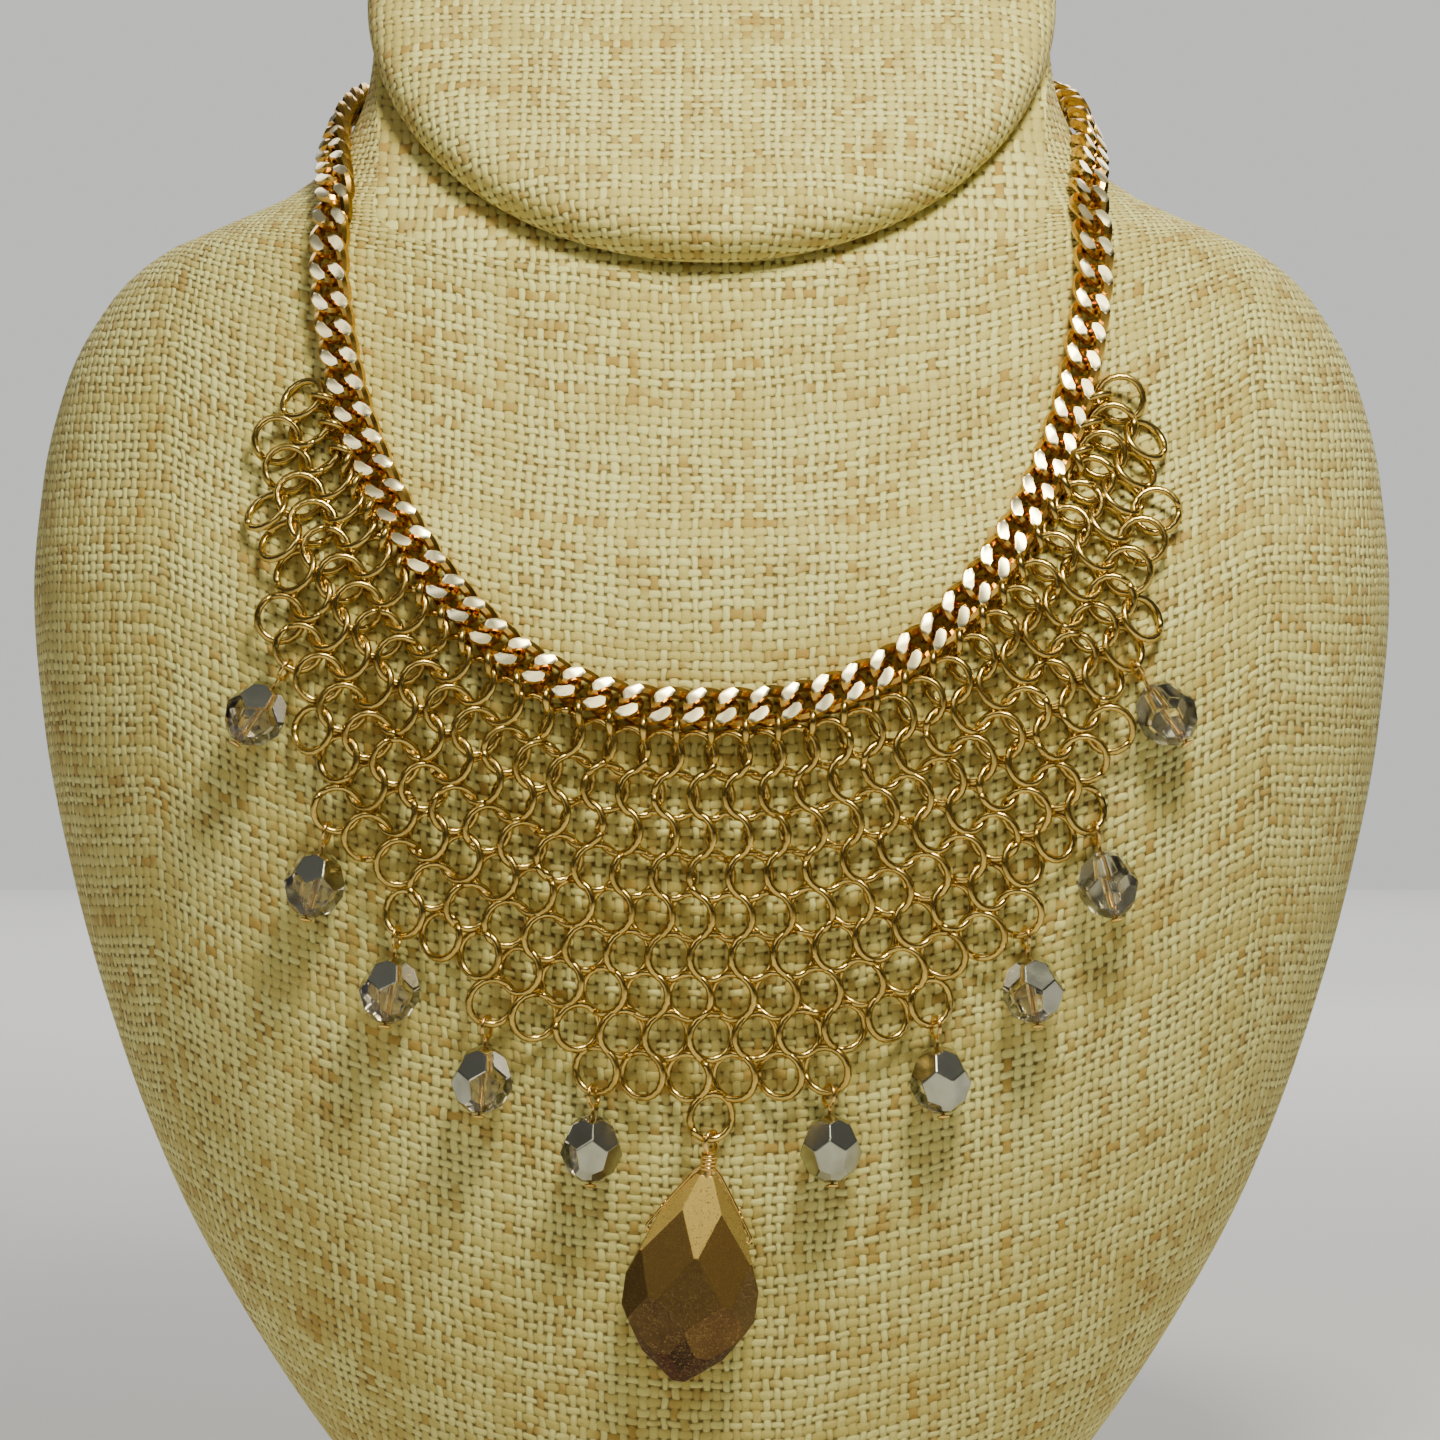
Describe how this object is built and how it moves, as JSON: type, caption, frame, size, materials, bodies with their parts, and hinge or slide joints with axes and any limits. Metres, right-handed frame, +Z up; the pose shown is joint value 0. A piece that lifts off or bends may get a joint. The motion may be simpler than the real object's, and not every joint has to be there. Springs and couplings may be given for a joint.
{
  "type": "bib necklace on a neck bust",
  "caption": "Gold-coloured bib necklace of linked rings on a curb chain, with faceted glass beads and a faceted metallic drop, on a padded cloth neck bust.",
  "frame": {"origin": "middle of the bust's flat base", "axes": "+Z up, the front with the bib faces -Y, +X to the right in the front view"},
  "size_m": [0.2136, 0.1125, 0.29],
  "materials": {
    "burlap": "cream and tan plain weave with golden slubs",
    "chain_gold": "polished deep gold, with flat bright cuts on the links",
    "ring_gold": "polished pale gold wire",
    "bead_glass": "clear champagne glass, part silvered, fire polished facets",
    "bronze_stone": "metallic bronze coating with a fine sparkle on flat facets"
  },
  "bodies": {
    "root": {"bust_body": "burlap", "neck_cap": "burlap", "curb_chain": "chain_gold", "clasp": "chain_gold", "mail_bib": "ring_gold", "bead_pin_1": "ring_gold", "bead_pin_2": "ring_gold", "bead_pin_3": "ring_gold", "bead_pin_4": "ring_gold", "bead_pin_5": "ring_gold", "bead_pin_6": "ring_gold", "bead_pin_7": "ring_gold", "bead_pin_8": "ring_gold", "bead_pin_9": "ring_gold", "bead_pin_10": "ring_gold", "glass_bead_1": "bead_glass", "glass_bead_2": "bead_glass", "glass_bead_3": "bead_glass", "glass_bead_4": "bead_glass", "glass_bead_5": "bead_glass", "glass_bead_6": "bead_glass", "glass_bead_7": "bead_glass", "glass_bead_8": "bead_glass", "glass_bead_9": "bead_glass", "glass_bead_10": "bead_glass", "drop_wire": "chain_gold", "drop_stone": "bronze_stone"}
  },
  "joints": []
}
